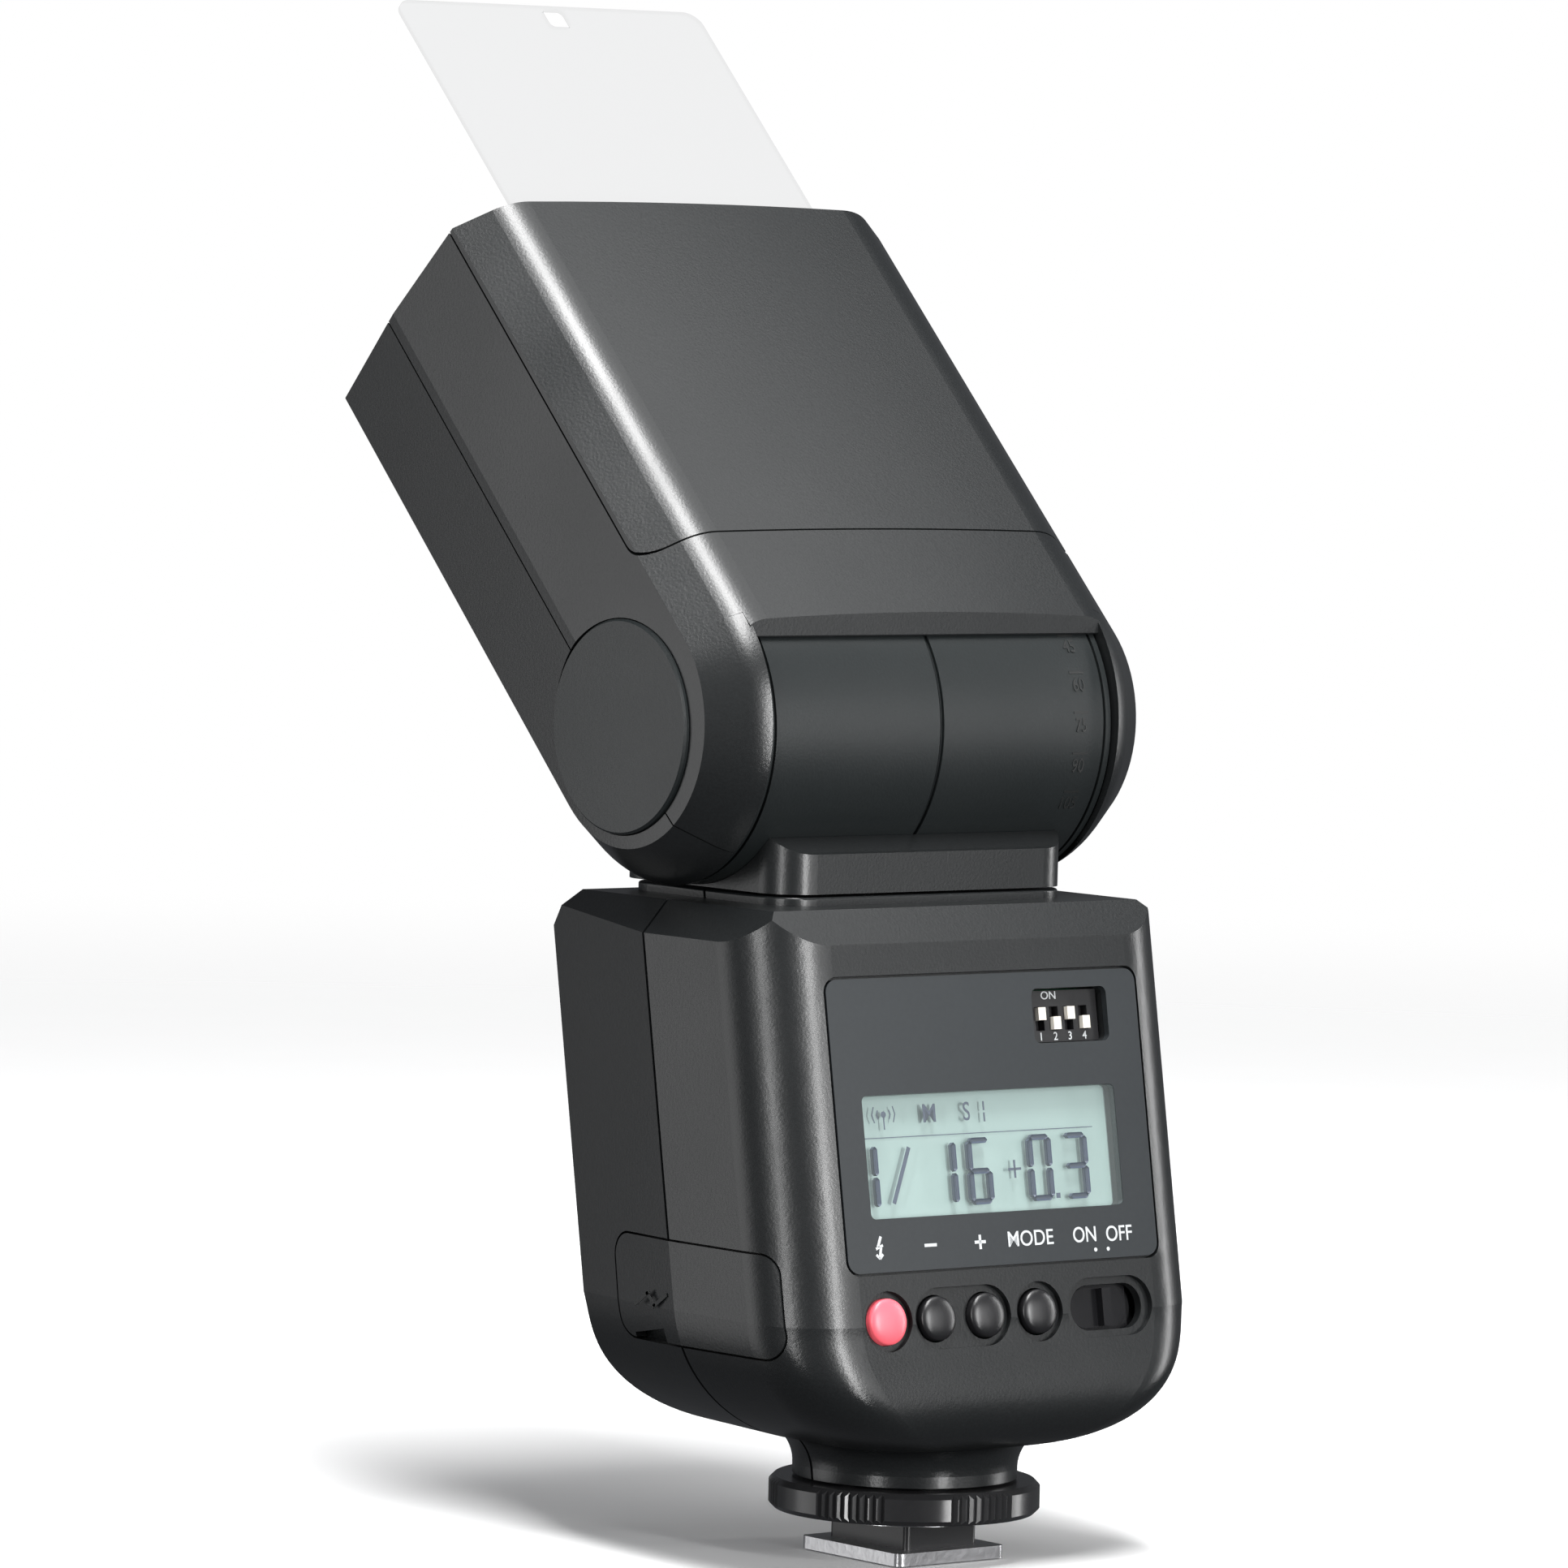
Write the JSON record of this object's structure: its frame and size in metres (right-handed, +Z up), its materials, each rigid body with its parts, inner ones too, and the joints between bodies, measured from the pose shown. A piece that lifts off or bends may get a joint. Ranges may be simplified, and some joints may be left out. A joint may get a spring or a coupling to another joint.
{
  "type": "shoe-mount electronic flash",
  "caption": "Shoe-mount electronic flash with a tilting, swivelling head, a pull-out bounce card, a rear control panel and a screw-down foot.",
  "frame": {"origin": "centre of the foot plate's underside", "axes": "+Z up, out of the foot; +Y the way the camera looks; +X the right of someone facing the control panel"},
  "size_m": [0.0766, 0.1102, 0.207],
  "materials": {
    "shell": "satin",
    "black": "gloss",
    "panel": "satin",
    "screen": "satin",
    "clear": "gloss",
    "rubber": "matte",
    "red": "satin",
    "white": "satin",
    "steel": "satin",
    "mirror": "gloss",
    "board": "satin",
    "smoke": "gloss",
    "card": "gloss",
    "brass": "satin"
  },
  "bodies": {
    "body": {"shoe_plate": "steel", "contact_insulator": "black", "contact_pin": "brass", "foot_stem": "black", "foot_screws": "steel", "body_rear_shell": "shell", "body_front_shell": "shell", "body_screws": "steel", "control_panel": "panel", "lcd_window": "clear", "lcd_module": "screen", "dip_switch": "black", "switch_base": "black", "button_board": "board", "main_board": "board", "sensor_window": "smoke", "sync_jack": "black", "power_jack": "black", "battery_tray": "shell", "battery_cells": "steel", "battery_contacts": "brass", "main_capacitor": "black", "swivel_ring": "black"},
    "clamp": {"clamp_washer": "steel"},
    "ring": {"lock_ring": "black"},
    "port": {"port_cover": "shell"},
    "door": {"battery_door": "shell"},
    "switch": {"power_switch": "black"},
    "test": {"test_button": "red"},
    "minus": {"minus_button": "rubber"},
    "plus": {"plus_button": "rubber"},
    "mode": {"mode_button": "rubber"},
    "dip_1": {"dip_slider_1": "white"},
    "dip_2": {"dip_slider_2": "white"},
    "dip_3": {"dip_slider_3": "white"},
    "dip_4": {"dip_slider_4": "white"},
    "swivel": {"turntable": "shell", "barrel_left": "shell", "barrel_right": "shell", "swivel_clip": "steel", "hinge_plates": "steel"},
    "head": {"head_lower_shell": "shell", "head_upper_shell": "shell", "head_top_cover": "shell", "hinge_cap_left": "shell", "hinge_cap_right": "shell", "head_screws": "steel", "front_lens": "clear", "reflector": "mirror", "flash_tube": "clear", "trigger_board": "board"},
    "card": {"bounce_card": "card"},
    "wide": {"wide_panel": "clear"}
  },
  "joints": [
    {"name": "clamp_slide", "type": "slide", "parent": "body", "child": "clamp", "axis": [0, 0, 1], "range_m": [-0.002, 0]},
    {"name": "ring_turn", "type": "hinge", "parent": "clamp", "child": "ring", "pos_m": [0, 0, 0.008], "axis": [0, 0, 1], "range_deg": [-300, 0]},
    {"name": "swivel_turn", "type": "hinge", "parent": "body", "child": "swivel", "pos_m": [0, 0.0174, 0.0884], "axis": [0, 0, 1], "range_deg": [-90, 180]},
    {"name": "head_tilt", "type": "hinge", "parent": "swivel", "child": "head", "pos_m": [0, 0.0174, 0.1104], "axis": [1, 0, 0], "range_deg": [-45, 60]},
    {"name": "card_slide", "type": "slide", "parent": "head", "child": "card", "axis": [0, 0.7071, 0.7071], "range_m": [-0.0428, 0]},
    {"name": "wide_panel_slide", "type": "slide", "parent": "head", "child": "wide", "axis": [0, 0.7071, 0.7071], "range_m": [0, 0.034]},
    {"name": "test_press", "type": "slide", "parent": "body", "child": "test", "axis": [0, 0.9848, -0.1736], "range_m": [0, 0.0006], "stiffness_N_per_m": 400, "springref_m": -0.0005},
    {"name": "minus_press", "type": "slide", "parent": "body", "child": "minus", "axis": [0, 0.9848, -0.1736], "range_m": [0, 0.0006], "stiffness_N_per_m": 400, "springref_m": -0.0005},
    {"name": "plus_press", "type": "slide", "parent": "body", "child": "plus", "axis": [0, 0.9848, -0.1736], "range_m": [0, 0.0006], "stiffness_N_per_m": 400, "springref_m": -0.0005},
    {"name": "mode_press", "type": "slide", "parent": "body", "child": "mode", "axis": [0, 0.9848, -0.1736], "range_m": [0, 0.0006], "stiffness_N_per_m": 400, "springref_m": -0.0005},
    {"name": "power_slide", "type": "slide", "parent": "body", "child": "switch", "axis": [1, 0, 0], "range_m": [0, 0.002]},
    {"name": "dip_1_slide", "type": "slide", "parent": "body", "child": "dip_1", "axis": [0, 0.1736, 0.9848], "range_m": [-0.0013, 0]},
    {"name": "dip_2_slide", "type": "slide", "parent": "body", "child": "dip_2", "axis": [0, 0.1736, 0.9848], "range_m": [0, 0.0013]},
    {"name": "dip_3_slide", "type": "slide", "parent": "body", "child": "dip_3", "axis": [0, 0.1736, 0.9848], "range_m": [-0.0013, 0]},
    {"name": "dip_4_slide", "type": "slide", "parent": "body", "child": "dip_4", "axis": [0, 0.1736, 0.9848], "range_m": [0, 0.0013]},
    {"name": "port_flap", "type": "hinge", "parent": "body", "child": "port", "pos_m": [-0.0346, 0.01937, 0.0353], "axis": [0, 0.1736, 0.9848], "range_deg": [-100, 0]},
    {"name": "door_swing", "type": "hinge", "parent": "body", "child": "door", "pos_m": [0.036, -0.00827, 0.04322], "axis": [0, 0.1736, 0.9848], "range_deg": [-110, 0]}
  ],
  "couplings": [
    {"joint": "clamp_slide", "follows": "ring_turn", "m_per_rad": 0.00038197}
  ]
}
